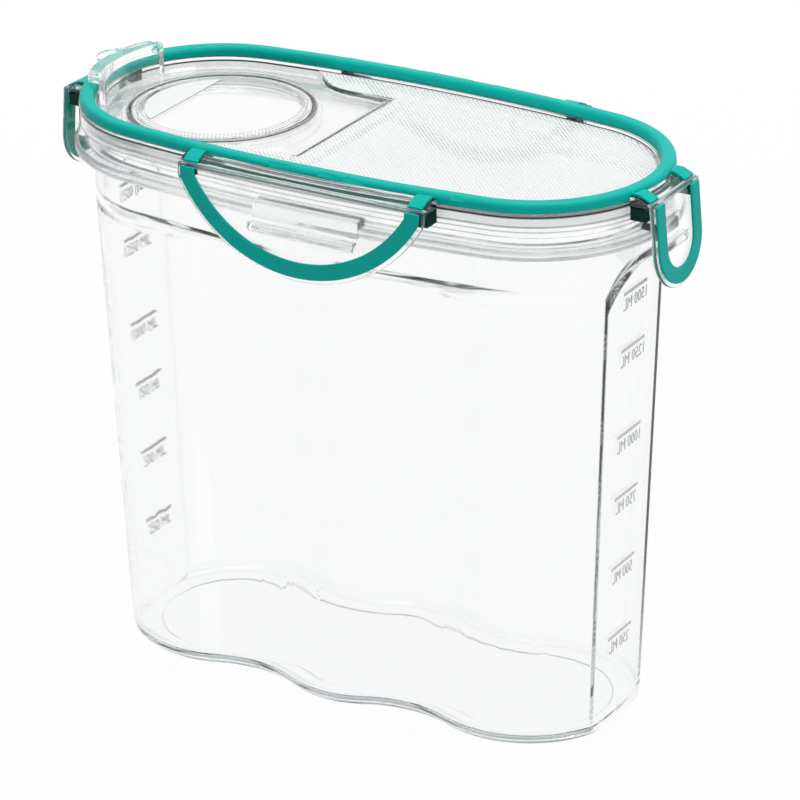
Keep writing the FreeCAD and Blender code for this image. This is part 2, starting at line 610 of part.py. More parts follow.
def flap_gasket():
    """Soft ring round the flap's plug."""
    seal_bottom = FLAP_BOTTOM - FLAP_SEAL_HEIGHT
    ring = upright(POUR_RADIUS - FLAP_SEAL_SIDE_GAP, POUR_X, 0, seal_bottom, FLAP_BOTTOM)
    return ring.cut(upright(FLAP_PLUG_RADIUS + FLAP_SEAL_FIT, POUR_X, 0, seal_bottom, FLAP_BOTTOM))


def main():
    os.makedirs("parts", exist_ok=True)
    nodes = {
        "container_body": container_body(),
        "lid_shell": lid_shell(),
        "lid_gasket": lid_gasket(),
        "lid_soft_rim": lid_soft_rim(),
        "pour_flap": pour_flap(),
        "flap_gasket": flap_gasket(),
    }
    for name, (half_width, hook, place, turned) in LATCHES.items():
        wing_wire = long_latch_wire if place is side_place else end_latch_wire
        nodes[name + "_latch"] = place(latch_wing(wing_wire, half_width, hook), turned)
        nodes[name + "_latch_trim"] = place(latch_trim(wing_wire, half_width), turned)
    for name, shape in nodes.items():
        shape.exportStep("parts/" + name + ".step")
        print(name, "solids", len(shape.Solids), "valid", shape.isValid(), "volume", round(shape.Volume, 1))


main()
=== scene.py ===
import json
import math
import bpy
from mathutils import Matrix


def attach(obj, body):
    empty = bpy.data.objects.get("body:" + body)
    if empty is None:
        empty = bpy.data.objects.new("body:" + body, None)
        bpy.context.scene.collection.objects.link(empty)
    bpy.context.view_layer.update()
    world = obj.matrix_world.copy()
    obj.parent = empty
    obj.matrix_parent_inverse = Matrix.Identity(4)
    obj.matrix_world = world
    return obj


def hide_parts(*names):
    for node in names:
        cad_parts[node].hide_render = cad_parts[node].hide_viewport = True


bl_info = {
    "name": "Snap-lid storage container",
    "version": (1, 0, 0),
    "blender": (4, 5, 0),
    "location": "3D View > Sidebar > Container",
    "description": "Dresses a clear snap-lid storage container: finishes, level marks, wings, white stage",
    "category": "Object",
}

import bmesh
import bpy
from mathutils import Matrix, Vector

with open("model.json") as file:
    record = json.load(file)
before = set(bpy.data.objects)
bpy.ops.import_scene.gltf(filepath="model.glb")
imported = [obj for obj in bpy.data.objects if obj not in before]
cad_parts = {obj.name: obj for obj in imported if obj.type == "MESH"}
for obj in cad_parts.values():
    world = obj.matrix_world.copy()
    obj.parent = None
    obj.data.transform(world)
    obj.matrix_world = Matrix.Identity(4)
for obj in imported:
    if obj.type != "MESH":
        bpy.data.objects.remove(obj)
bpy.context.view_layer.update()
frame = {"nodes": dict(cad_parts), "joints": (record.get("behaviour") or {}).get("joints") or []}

MM = 0.001
UP = Vector((0, 0, 1))

# Places of the CAD solids that the dressing sits on, in metres
DECK_TOP = 175.7 * MM
FLAP_TOP = 174.2 * MM
POUR_X = -53.5 * MM
PRESS_RING_OUTER = 29.1 * MM
PRESS_RING_INNER = 24.3 * MM
PRESS_RING_TOP = FLAP_TOP + 0.5 * MM
PANEL_FOOT_X = 83.4 * MM
PANEL_LEAN = 0.04115
SKIRT_HALF_WIDTH = 44.9 * MM
SKIRT_SIDE_RADIUS = 478.7 * MM
SKIRT_END_CENTRE = 56.0 * MM
SKIRT_END_RADIUS = 41.3 * MM
SKIRT_BOTTOM = 171.1 * MM
DECK_INSET = 5.5 * MM
POCKET_RIGHT = -8.6 * MM
POCKET_NECK_X = -25.0 * MM
POCKET_HALF_WIDTH = 27.0 * MM
POCKET_NECK_RADIUS = 16.0 * MM
POCKET_NECK_TURN = math.radians(45)
TAB_UNDERSIDE = 175.1 * MM
HINGE_BEAD = 0.65 * MM

# Soft pads under the hinge tabs, coloured nearly black as painted shade: distance of their span from the
# bead, length added to it, edge rounding
PAD_GAP = 1.3 * MM
PAD_OVERLAP = 1.0 * MM
PAD_ROUND = 0.3 * MM

# White strips over the hinges, a painted highlight along each fold: distance behind the axis, depth below the
# bead's top, edge rounding
FOLD_BACK = 0.95 * MM
FOLD_SINK = 0.08 * MM
FOLD_ROUND = 0.12 * MM

# Raised press pad on the flap: a round plate cut off along a chord
PRESS_PAD_MARGIN = 0.8 * MM
PRESS_PAD_CHORD = -13 * MM
PRESS_PAD_HEIGHT = 0.3 * MM
PRESS_PAD_ROUND = 0.15 * MM
PRESS_PAD_SINK = 0.05 * MM

# Rows of dots on the press ring, the slant of the deck's ridges and the step that their ends are found with
DOT_ROWS = 4
HATCH_SLANT = 45
HATCH_STEP = 0.5 * MM

# Mesh work on copies of the solids: distance between doubles, angles of flat and of sharp edges
MERGE_DISTANCE = 0.002 * MM
FLAT_ANGLE = math.radians(1)
SHARP_ANGLE = math.radians(40)

# Figures in the font's own units: one thick, so that a scale gives the rise; steps of a curve; doubles
FIGURE_HALF_THICKNESS = 0.5
FIGURE_CURVE_STEPS = 3
FIGURE_MERGE = 1e-5

# Colour sockets of the Mix node, which share their names with its number sockets
MIX_FIRST = 6
MIX_SECOND = 7
MIX_COLOUR = 2

# Volume in millilitres and the height of its line on the end panels
LEVELS = ((250, 30.2 * MM), (500, 53.9 * MM), (750, 77.3 * MM), (1000, 97.7 * MM), (1250, 125.8 * MM),
          (1500, 144.1 * MM))

# Each latch: half its width, and the outward direction of its side
LATCHES = {
    "front": (42.0 * MM, Vector((0, -1, 0))),
    "back": (42.0 * MM, Vector((0, 1, 0))),
    "left": (14.2 * MM, Vector((-1, 0, 0))),
    "right": (14.2 * MM, Vector((1, 0, 0))),
}

# Floor in metres: half its side, and the distances between which it fades to plain white
FLOOR_HALF = 4.0
FADE_NEAR = 0.15
FADE_FAR = 0.6

# White that the floor shows by the object, white of the zenith, and strength of the light from all round
FLOOR_WHITE = 0.975
ZENITH_WHITE = 0.95
ROUND_LIGHT = 0.45

# Each lamp: its place, its width in metres and its power in watts
LAMPS = {
    "overhead_softbox": ((0.1, 0.25, 1.5), 1.2, 12.0),
    "side_softbox": ((1.3, -0.6, 0.9), 0.8, 3.0),
}
LAMP_TARGET = Vector((0, 0, 0.09))

# Clear walls behind clear walls need long light paths, or they turn black
LIGHT_BOUNCES = 40

# Camera: its place, the directions to its right and behind it, and its lens
CAMERA_PLACE = (0.654645, -1.057587, 0.651551)
CAMERA_RIGHT = Vector((0.856682, 0.515621, -0.015102))
CAMERA_BACK = Vector((0.47505, -0.77719, 0.41268))
CAMERA_LENS = 200.76


def linear(code):
    """An sRGB hex colour as linear red, green, blue and alpha."""
    channels = []
    for place in (1, 3, 5):
        value = int(code[place:place + 2], 16) / 255
        channels.append(value / 12.92 if value <= 0.04045 else ((value + 0.055) / 1.055) ** 2.4)
    return (*channels, 1.0)


WHITE = linear("#FFFFFF")


def colour(name, description, code):
    """A colour property whose default is an sRGB hex colour."""
    return bpy.props.FloatVectorProperty(
        name=name, description=description, subtype="COLOR", size=4, min=0.0, max=1.0, default=linear(code))


def length(name, description, default):
    """A length property in metres."""
    return bpy.props.FloatProperty(
        name=name, description=description, unit="LENGTH", min=0.0, precision=5, default=default)


class ContainerSizes(bpy.types.PropertyGroup):
    """Sizes of the dressed pieces"""
    wing_round: length("Wing edge", "Rounding of the latch wings' edges", 0.45 * MM)
    band_round: length("Band edge", "Rounding of the soft bands' edges", 0.3 * MM)
    overmould: length("Overmould", "How far the soft rubber swells into the clear plastic", 0.03 * MM)
    line_half: length("Line half length", "Half the length of a level line", 7.1 * MM)
    line_width: length("Line width", "Height of a level line on the panel", 1.1 * MM)
    mark_rise: length("Mark rise", "How far the level marks stand out of the panel", 0.2 * MM)
    number_height: length("Number height", "Height of the figures", 3.7 * MM)
    number_pitch: length("Number pitch", "Width of one figure with its gap", 2.0 * MM)
    number_drop: length("Number drop", "Gap from a level line to the figures below it", 1.7 * MM)
    pad_width: length("Pad width", "Width of the soft pads under a hinge tab", 3.2 * MM)
    pad_rise: length("Pad rise", "How far a soft pad reaches up into its hinge tab", 0.7 * MM)
    hatch_pitch: length("Hatch pitch", "Distance between the fine ridges on the deck", 1.1 * MM)
    hatch_width: length("Hatch width", "Width of a fine ridge", 0.55 * MM)
    texture_rise: length("Texture rise", "Height of the ridges and dots", 0.06 * MM)
    texture_margin: length("Texture margin", "Plain border round the deck's ridges", 0.8 * MM)
    dot_radius: length("Dot radius", "Radius of the dots on the press ring", 0.36 * MM)
    # the fold strip that this width sizes is a painted highlight along the hinge
    crease_width: length("Crease width", "Width of the whitened fold over a hinge", 0.4 * MM)


class ContainerColours(bpy.types.PropertyGroup):
    """Colours of the finishes"""
    rubber: colour("Soft band", "Soft rubber of the ring and the bands", "#07C4B8")
    rubber_deep: colour("Soft band, deep", "Darker mottle of the soft rubber", "#06B6AA")
    # painted shade: the pads are coloured nearly black teal for the shade under the hinge tabs, with a paler
    # random mottle
    rubber_shade: colour("Soft pad", "Dark soft rubber of the pads under the hinge tabs", "#04302B")
    rubber_shade_pale: colour("Soft pad, worn", "Paler mottle of the pads under the hinge tabs", "#063A35")
    clear: colour("Clear plastic", "Surface tint of the clear plastic", "#FFFFFF")
    clear_depth: colour("Clear plastic, depth", "Tint that the clear plastic takes on through its thickness",
                        "#D2D8DB")
    frosted: colour("Frosted plastic", "White of the moulded texture on the lid", "#FCFDFD")
    frosted_deep: colour("Frosted plastic, deep", "Greyer mottle of the moulded textures", "#EEF1F1")
    silicone: colour("Seal", "Translucent silicone of the seals", "#EDF1F0")
    mark: colour("Level mark", "Grey of the level marks", "#F2F4F4")
    # painted highlight along the hinge folds; the same white is the real frost of the press pad
    mark_pale: colour("Level mark, worn", "Paler grey where the marks are worn", "#FCFDFD")
    crease: colour("Fold", "Whitened plastic along a fold", "#F4FAF9")
    floor: colour("Floor", "Studio floor", "#B8BABA")


def add_node(tree, kind, inputs=None, **settings):
    """Adds a shader node with its settings, and links or sets its inputs."""
    node = tree.nodes.new(kind)
    for name, value in settings.items():
        setattr(node, name, value)
    for name, value in (inputs or {}).items():
        if isinstance(value, bpy.types.NodeSocket):
            tree.links.new(value, node.inputs[name])
        else:
            node.inputs[name].default_value = value
    return node


def start_material(name):
    """An empty node material and its Object coordinates."""
    material = bpy.data.materials.new(name)
    material.use_nodes = True
    tree = material.node_tree
    tree.nodes.clear()
    return material, tree, add_node(tree, "ShaderNodeTexCoord").outputs["Object"]


def clear_plastic(name, colours, density, edge, wave, relief, haze):
    """Moulded clear plastic: glossy, soft edges, a faint wave or sanding, grey along its walls."""
    material, tree, place = start_material(name)
    surface = add_node(tree, "ShaderNodeTexNoise", {"Vector": place, "Scale": 1 / wave, "Detail": 1.0})
    cloud = add_node(tree, "ShaderNodeTexNoise", {"Vector": place, "Scale": 1 / (3 * MM), "Detail": 3.0})
    rough = add_node(tree, "ShaderNodeMapRange",
                     {"Value": cloud.outputs["Fac"], "From Min": 0.35, "From Max": 0.7,
                      "To Min": haze / 3, "To Max": haze})
    soft = add_node(tree, "ShaderNodeBevel", {"Radius": edge}, samples=4)
    bump = add_node(tree, "ShaderNodeBump",
                    {"Height": surface.outputs["Fac"], "Strength": 0.2, "Distance": relief,
                     "Normal": soft.outputs["Normal"]})
    shader = add_node(tree, "ShaderNodeBsdfPrincipled",
                      {"Base Color": colours.clear, "Roughness": rough.outputs["Result"], "IOR": 1.5,
                       "Transmission Weight": 1.0, "Normal": bump.outputs["Normal"]})
    depth = add_node(tree, "ShaderNodeVolumeAbsorption", {"Color": colours.clear_depth, "Density": density})
    add_node(tree, "ShaderNodeOutputMaterial",
             {"Surface": shader.outputs["BSDF"], "Volume": depth.outputs["Volume"]})
    return material


def soft_rubber(colours):
    """Moulded thermoplastic rubber: satin teal with a fine matt grain and a slight mottle."""
    material, tree, place = start_material("soft_rubber_teal_satin")
    mottle = add_node(tree, "ShaderNodeTexNoise", {"Vector": place, "Scale": 1 / (7 * MM), "Detail": 2.0})
    tone = add_node(tree, "ShaderNodeMix",
                    {"Factor": mottle.outputs["Fac"], MIX_FIRST: colours.rubber,
                     MIX_SECOND: colours.rubber_deep}, data_type="RGBA")
    # moulded grain of about 0.2 mm is drawn at 0.5 mm so that it shows
    grain = add_node(tree, "ShaderNodeTexNoise", {"Vector": place, "Scale": 1 / (0.5 * MM), "Detail": 2.0})
    rough = add_node(tree, "ShaderNodeMapRange",
                     {"Value": grain.outputs["Fac"], "From Min": 0.3, "From Max": 0.7,
                      "To Min": 0.32, "To Max": 0.46})
    bump = add_node(tree, "ShaderNodeBump", {"Height": grain.outputs["Fac"], "Strength": 0.12,
                                             "Distance": 0.05 * MM})
    shader = add_node(tree, "ShaderNodeBsdfPrincipled",
                      {"Base Color": tone.outputs[MIX_COLOUR], "Roughness": rough.outputs["Result"],
                       "IOR": 1.48, "Specular IOR Level": 0.03, "Coat Weight": 0.15, "Coat Roughness": 0.2,
                       "Normal": bump.outputs["Normal"]})
    add_node(tree, "ShaderNodeOutputMaterial", {"Surface": shader.outputs["BSDF"]})
    return material


def seal_silicone(colours):
    """Moulded clear silicone: milky, soft gloss, a faint bloom on the surface."""
    material, tree, place = start_material("silicone_translucent_moulded")
    bloom = add_node(tree, "ShaderNodeTexNoise", {"Vector": place, "Scale": 1 / (2 * MM), "Detail": 2.0})
    rough = add_node(tree, "ShaderNodeMapRange",
                     {"Value": bloom.outputs["Fac"], "To Min": 0.1, "To Max": 0.25})
    bump = add_node(tree, "ShaderNodeBump", {"Height": bloom.outputs["Fac"], "Strength": 0.1,
                                             "Distance": 0.05 * MM})
    shader = add_node(tree, "ShaderNodeBsdfPrincipled",
                      {"Base Color": colours.silicone, "Roughness": rough.outputs["Result"], "IOR": 1.41,
                       "Transmission Weight": 0.93, "Normal": bump.outputs["Normal"]})
    add_node(tree, "ShaderNodeOutputMaterial", {"Surface": shader.outputs["BSDF"]})
    return material


def two_tone(name, first, second, grain_mm, rough_low, rough_high):
    """A matt moulded surface that varies between two close tones."""
    material, tree, place = start_material(name)
    grain = add_node(tree, "ShaderNodeTexNoise",
                     {"Vector": place, "Scale": 1 / (grain_mm * MM), "Detail": 2.0})
    tone = add_node(tree, "ShaderNodeMix",
                    {"Factor": grain.outputs["Fac"], MIX_FIRST: first, MIX_SECOND: second}, data_type="RGBA")
    rough = add_node(tree, "ShaderNodeMapRange",
                     {"Value": grain.outputs["Fac"], "To Min": rough_low, "To Max": rough_high})
    bump = add_node(tree, "ShaderNodeBump", {"Height": grain.outputs["Fac"], "Strength": 0.1,
                                             "Distance": 0.03 * MM})
    shader = add_node(tree, "ShaderNodeBsdfPrincipled",
                      {"Base Color": tone.outputs[MIX_COLOUR], "Roughness": rough.outputs["Result"],
                       "Specular IOR Level": 0.15, "Normal": bump.outputs["Normal"]})
    add_node(tree, "ShaderNodeOutputMaterial", {"Surface": shader.outputs["BSDF"]})
    return material


def dress(node, material):
    """Gives a CAD node its finish."""
    data = frame["nodes"][node].data
    data.materials.clear()
    data.materials.append(material)


def add_piece(name, bm, body, material):
    """Makes a finished mesh a piece of the object that moves with a body."""
    data = bpy.data.meshes.new(name)
    bm.to_mesh(data)
    bm.free()
    data.shade_smooth()
    data.materials.append(material)
    piece = bpy.data.objects.new(name, data)
    bpy.context.scene.collection.objects.link(piece)
    even = piece.modifiers.new("Even shading", "WEIGHTED_NORMAL")
    even.keep_sharp = True
    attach(piece, body)
    return piece


def rounded_copy(node, radius, swell=0.0):
    """A merged copy of a CAD node with its sharp edges rounded and its faces moved out a little."""
    bm = bmesh.new()
    bm.from_mesh(frame["nodes"][node].data)
    bmesh.ops.remove_doubles(bm, verts=bm.verts, dist=MERGE_DISTANCE)
    bmesh.ops.dissolve_limit(bm, angle_limit=FLAT_ANGLE, verts=bm.verts, edges=bm.edges)
    sharp = [edge for edge in bm.edges if edge.is_manifold and edge.calc_face_angle() > SHARP_ANGLE]
    bmesh.ops.bevel(bm, geom=sharp, offset=radius, offset_type="OFFSET", segments=3, profile=0.5,
                    affect="EDGES", clamp_overlap=True, material=-1)
    bm.normal_update()
    for vert in bm.verts:
        vert.co += vert.normal * swell
    return bm


def add_block(bm, size, centre, turn, radius):
    """Adds a block with rounded edges, turned by a rotation matrix, to a mesh."""
    made = bmesh.ops.create_cube(bm, size=1.0)["verts"]
    bmesh.ops.scale(bm, vec=size, verts=made)
    edges = list(dict.fromkeys(edge for vert in made for edge in vert.link_edges))
    made = bmesh.ops.bevel(bm, geom=edges, offset=radius, offset_type="OFFSET", segments=2, profile=0.5,
                           affect="EDGES", clamp_overlap=True, material=-1)["verts"]
    bmesh.ops.rotate(bm, cent=(0, 0, 0), matrix=turn, verts=made)
    bmesh.ops.translate(bm, vec=centre, verts=made)


def side_turn(outward):
    """Rotation whose X axis points out of a side and whose Z axis is up."""
    return Matrix((outward, UP.cross(outward), UP)).transposed()


class CONTAINER_OT_body(bpy.types.Operator):
    """Finish of the clear container"""
    bl_idname = "container.body"
    bl_label = "Container body"

    def execute(self, context):
        colours = context.scene.container_colours
        # polystyrene from a polished mould: clear as glass, a slow wave in the walls, grey at the edges
        clear = clear_plastic("clear_styrene_moulded", colours, density=32.0, edge=1.2 * MM, wave=38 * MM,
                              relief=0.3 * MM, haze=0.035)
        dress("container_body", clear)
        return {"FINISHED"}


class CONTAINER_OT_marks(bpy.types.Operator):
    """Level lines and plain figures on both end panels"""
    bl_idname = "container.marks"
    bl_label = "Level marks"

    def figures(self, context, text, sizes):
        """Mesh of a row of figures, centred, its top at the origin, lying in X and Y."""
        curve = bpy.data.curves.new("figures", "FONT")
        curve.body = text
        curve.align_x = "CENTER"
        curve.resolution_u = FIGURE_CURVE_STEPS
        curve.extrude = FIGURE_HALF_THICKNESS
        holder = bpy.data.objects.new("figures", curve)
        context.scene.collection.objects.link(holder)
        context.view_layer.update()
        data = bpy.data.meshes.new_from_object(holder.evaluated_get(context.evaluated_depsgraph_get()))
        bpy.data.objects.remove(holder)
        bpy.data.curves.remove(curve)
        bm = bmesh.new()
        bm.from_mesh(data)
        bpy.data.meshes.remove(data)
        bmesh.ops.remove_doubles(bm, verts=bm.verts, dist=FIGURE_MERGE)
        lows = [min(vert.co[axis] for vert in bm.verts) for axis in range(3)]
        highs = [max(vert.co[axis] for vert in bm.verts) for axis in range(3)]
        bmesh.ops.translate(bm, vec=(-(lows[0] + highs[0]) / 2, -highs[1], 0), verts=bm.verts)
        scale = (sizes.number_pitch * len(text) / (highs[0] - lows[0]),
                 sizes.number_height / (highs[1] - lows[1]), sizes.mark_rise)
        bmesh.ops.scale(bm, vec=scale, verts=bm.verts)
        return bm

    def execute(self, context):
        sizes = context.scene.container_sizes
        colours = context.scene.container_colours
        # raised marks, matt from a blasted mould: pale grey against the gloss of the wall
        ink = two_tone("moulded_mark_grey_matt", colours.mark, colours.mark_pale, grain_mm=0.7,
                       rough_low=0.45, rough_high=0.6)
        for side in ("left", "right"):
            outward = LATCHES[side][1]
            up = (UP + PANEL_LEAN * outward).normalized()
            right = UP.cross(outward)
            turn = Matrix((right, up, right.cross(up))).transposed()
            bm = bmesh.new()
            for volume, height in LEVELS:
                on_panel = outward * (PANEL_FOOT_X + PANEL_LEAN * height) + UP * height
                add_block(bm, (2 * sizes.line_half, sizes.line_width, sizes.mark_rise), on_panel, turn,
                          sizes.mark_rise / 3)
                row = self.figures(context, str(volume) + " ML", sizes)
                # the figures are moulded to be read from inside
                bmesh.ops.rotate(row, cent=(0, 0, 0), matrix=turn @ Matrix.Rotation(math.pi, 3, "Y"),
                                 verts=row.verts)
                bmesh.ops.translate(row, vec=on_panel - up * sizes.number_drop, verts=row.verts)
                held = bpy.data.meshes.new("row")
                row.to_mesh(held)
                row.free()
                bm.from_mesh(held)
                bpy.data.meshes.remove(held)
            add_piece(side + "_level_marks", bm, "container", ink)
        return {"FINISHED"}


class CONTAINER_OT_lid(bpy.types.Operator):
    """Finish of the lid, its seal and its soft ring, with the pads of painted shade and the folds of painted
    highlight at the hinges
    """
    bl_idname = "container.lid"
    bl_label = "Lid"

    def execute(self, context):
        sizes = context.scene.container_sizes
        colours = context.scene.container_colours
        rubber = soft_rubber(colours)
        # painted highlight: a white strip along each hinge stands for the thin line of light on the fold
        fold = two_tone("fold_painted_highlight", colours.crease, colours.frosted_deep, grain_mm=1.5,
                        rough_low=0.3, rough_high=0.5)
        # painted shade: the pads' rubber is coloured nearly black teal for the shade under the tabs; matt
        shade = two_tone("soft_rubber_painted_shade_teal", colours.rubber_shade, colours.rubber_shade_pale,
                         grain_mm=2.0, rough_low=0.5, rough_high=0.7)
        # clarified polypropylene: clear with a light haze, hardly a tint in its depth
        clear = clear_plastic("clear_lid_polypropylene", colours, density=2.0, edge=0.3 * MM, wave=15 * MM,
                              relief=0.1 * MM, haze=0.12)
        dress("lid_shell", clear)
        dress("lid_gasket", seal_silicone(colours))
        ring = add_piece("soft_ring", rounded_copy("lid_soft_rim", sizes.band_round, sizes.overmould), "lid",
                         rubber)
        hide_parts("lid_soft_rim")
        pads = bmesh.new()
        folds = bmesh.new()
        for joint in frame["joints"]:
            side = joint["child"].removesuffix("_latch")
            if side not in LATCHES:
                continue
            half, outward = LATCHES[side]
            turn = side_turn(outward)
            hinge = Vector(joint["pos_m"])
            along = turn @ Vector((0, 1, 0))
            middle = half - sizes.pad_width / 2
            reach = hinge.dot(outward) - HINGE_BEAD - PAD_GAP
            top = TAB_UNDERSIDE + sizes.pad_rise
            for end in (1, -1):
                place = hinge.dot(along) + end * middle
                if side in ("front", "back"):
                    skirt = SKIRT_HALF_WIDTH - place ** 2 / (2 * SKIRT_SIDE_RADIUS)
                else:
                    skirt = SKIRT_END_CENTRE + math.sqrt(SKIRT_END_RADIUS ** 2 - place ** 2)
                centre = outward * (skirt + reach) / 2 + along * place
                centre.z = (top + SKIRT_BOTTOM) / 2
                add_block(pads, (reach - skirt + PAD_OVERLAP, sizes.pad_width, top - SKIRT_BOTTOM), centre,
                          turn, PAD_ROUND)
            centre = hinge - outward * FOLD_BACK + UP * (HINGE_BEAD - FOLD_SINK)
            add_block(folds, (sizes.crease_width, 2 * half, sizes.crease_width), centre, turn, FOLD_ROUND)
        add_piece("hinge_pads_painted_shade", pads, "lid", shade)
        add_piece("hinge_fold_highlights", folds, "lid", fold)
        return {"FINISHED"}


class CONTAINER_OT_texture(bpy.types.Operator):
    """Moulded texture of the lid: fine crossed ridges on the deck"""
    bl_idname = "container.texture"
    bl_label = "Deck texture"

    def on_deck(self, x, y, margin):
        """Whether a plan point is on the flat deck, clear of its edge and of the flap's pocket."""
        inset = DECK_INSET + margin
        if math.hypot(x, abs(y) + SKIRT_SIDE_RADIUS - SKIRT_HALF_WIDTH) > SKIRT_SIDE_RADIUS - inset:
            return False
        past = abs(x) - SKIRT_END_CENTRE
        if past > 0 and math.hypot(past, y) > SKIRT_END_RADIUS - inset:
            return False
        if x > POCKET_RIGHT + margin:
            return True
        back = max(POCKET_NECK_X - x, 0)
        bend = POCKET_NECK_RADIUS * math.sin(POCKET_NECK_TURN)
        swing = POCKET_NECK_RADIUS - math.sqrt(POCKET_NECK_RADIUS ** 2 - min(back, bend) ** 2)
        return abs(y) > POCKET_HALF_WIDTH + swing + max(back - bend, 0) + margin

    def ridges(self, sizes):
        """Mesh of the crossed ridges, each run of a line that is on the deck."""
        bm = bmesh.new()
        count = int(2 * SKIRT_HALF_WIDTH / sizes.hatch_pitch)
        reach = int(2 * SKIRT_HALF_WIDTH / HATCH_STEP)
        # one family lies a little lower, so that no two faces share a plane where ridges cross
        for angle, top in ((HATCH_SLANT, DECK_TOP), (-HATCH_SLANT, DECK_TOP - sizes.texture_rise / 3)):
            turn = Matrix.Translation((0, 0, top)) @ Matrix.Rotation(math.radians(angle), 4, "Z")
            for row in range(-count, count + 1):
                start = None
                for place in range(-reach, reach + 1):
                    spot = turn @ Vector((place * HATCH_STEP, row * sizes.hatch_pitch, 0))
                    inside = self.on_deck(spot.x, spot.y, sizes.texture_margin)
                    if inside and start is None:
                        start = place
                    if start is not None and not inside:
                        middle = ((start + place - 1) * HATCH_STEP / 2, row * sizes.hatch_pitch, 0)
                        size = ((place - start) * HATCH_STEP, sizes.hatch_width, 2 * sizes.texture_rise)
                        block = turn @ Matrix.LocRotScale(middle, None, size)
                        bmesh.ops.create_cube(bm, size=1.0, matrix=block)
                        start = None
        bmesh.ops.bevel(bm, geom=bm.edges[:], offset=sizes.texture_rise / 2, offset_type="OFFSET", segments=1,
                        profile=0.5, affect="EDGES", clamp_overlap=True, material=-1)
        return bm

    def execute(self, context):
        sizes = context.scene.container_sizes
        colours = context.scene.container_colours
        # fine texture of the mould: scatters the light, so the deck looks frosted white
        frosted = two_tone("moulded_texture_frosted_white", colours.frosted, colours.frosted_deep,
                           grain_mm=2.0, rough_low=0.4, rough_high=0.6)
        add_piece("deck_hatch", self.ridges(sizes), "lid", frosted)
        return {"FINISHED"}


class CONTAINER_OT_wings(bpy.types.Operator):
    """Latch wings and their soft bands, with rounded edges"""
    bl_idname = "container.wings"
    bl_label = "Latch wings"

    def execute(self, context):
        sizes = context.scene.container_sizes
        colours = context.scene.container_colours
        # polypropylene from a lightly sanded mould: clear, with a fine grain in its gloss
        clear = clear_plastic("latch_polypropylene_sanded", colours, density=2.0, edge=0.4 * MM,
                              wave=0.8 * MM, relief=0.02 * MM, haze=0.12)
        rubber = bpy.data.materials["soft_rubber_teal_satin"]
        for side in LATCHES:
            body = side + "_latch"
            wing = add_piece(side + "_wing", rounded_copy(body, sizes.wing_round), body, clear)
            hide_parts(body)
            band = add_piece(side + "_band", rounded_copy(body + "_trim", sizes.band_round, sizes.overmould),
                             body, rubber)
            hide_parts(body + "_trim")
        return {"FINISHED"}


class CONTAINER_OT_flap(bpy.types.Operator):
    """Finish of the pour flap and its seal, with the raised press pad and the dots of the press ring"""
    bl_idname = "container.flap"
    bl_label = "Pour flap"

    def dots(self, sizes):
        """Mesh of the low dots in rings on the press ring."""
        bm = bmesh.new()
        centre = Vector((POUR_X, 0, PRESS_RING_TOP))
        width = PRESS_RING_OUTER - PRESS_RING_INNER
        flat = (1, 1, sizes.texture_rise / sizes.dot_radius)
        for row in range(DOT_ROWS):
            radius = PRESS_RING_INNER + (row + 0.5) * width / DOT_ROWS
            count = int(2 * math.pi * radius * DOT_ROWS / width)
            spot = Matrix.LocRotScale(centre + Vector((radius, 0, 0)), None, flat)
            made = bmesh.ops.create_uvsphere(bm, u_segments=8, v_segments=4, radius=sizes.dot_radius,
                                             matrix=spot)["verts"]
            faces = list(dict.fromkeys(face for vert in made for face in vert.link_faces))
            bmesh.ops.spin(bm, geom=faces, cent=centre, axis=UP, angle=2 * math.pi * (count - 1) / count,
                           steps=count - 1, use_duplicate=True)
        return bm

    def press_pad(self):
        """Mesh of the raised pad: a low plate with a rounded top edge."""
        bm = bmesh.new()
        bmesh.ops.create_circle(bm, cap_ends=True, segments=96, radius=PRESS_RING_INNER - PRESS_PAD_MARGIN)
        bmesh.ops.bisect_plane(bm, geom=bm.verts[:] + bm.edges[:] + bm.faces[:],
                               plane_co=(PRESS_PAD_CHORD, 0, 0), plane_no=(1, 0, 0), clear_outer=True)
        pulled = bmesh.ops.extrude_face_region(bm, geom=bm.faces[:])["geom"]
        raised = [part for part in pulled if isinstance(part, bmesh.types.BMVert)]
        bmesh.ops.translate(bm, vec=UP * PRESS_PAD_HEIGHT, verts=raised)
        bmesh.ops.recalc_face_normals(bm, faces=bm.faces)
        top = [edge for edge in bm.edges if all(vert.co.z > PRESS_PAD_HEIGHT / 2 for vert in edge.verts)]
        bmesh.ops.bevel(bm, geom=top, offset=PRESS_PAD_ROUND, offset_type="OFFSET", segments=2, profile=0.5,
                        affect="EDGES", clamp_overlap=True, material=-1)
        bmesh.ops.translate(bm, vec=(POUR_X, 0, FLAP_TOP - PRESS_PAD_SINK), verts=bm.verts)
        return bm

    def execute(self, context):
        sizes = context.scene.container_sizes
        colours = context.scene.container_colours
        # clarified polypropylene from a polished mould: clear, glossier than the lid
        clear = clear_plastic("flap_polypropylene_gloss", colours, density=2.0, edge=0.3 * MM, wave=15 * MM,
                              relief=0.1 * MM, haze=0.08)
        dress("pour_flap", clear)
        add_piece("press_ring_dots", self.dots(sizes), "flap", clear)
        dress("flap_gasket", bpy.data.materials["silicone_translucent_moulded"])
        # blasted patch of the mould: a soft white frost on the clear flap
        frosted = two_tone("press_pad_frosted_white", colours.crease, colours.frosted_deep, grain_mm=1.0,
                           rough_low=0.4, rough_high=0.6)
        add_piece("press_pad", self.press_pad(), "flap", frosted)
        return {"FINISHED"}


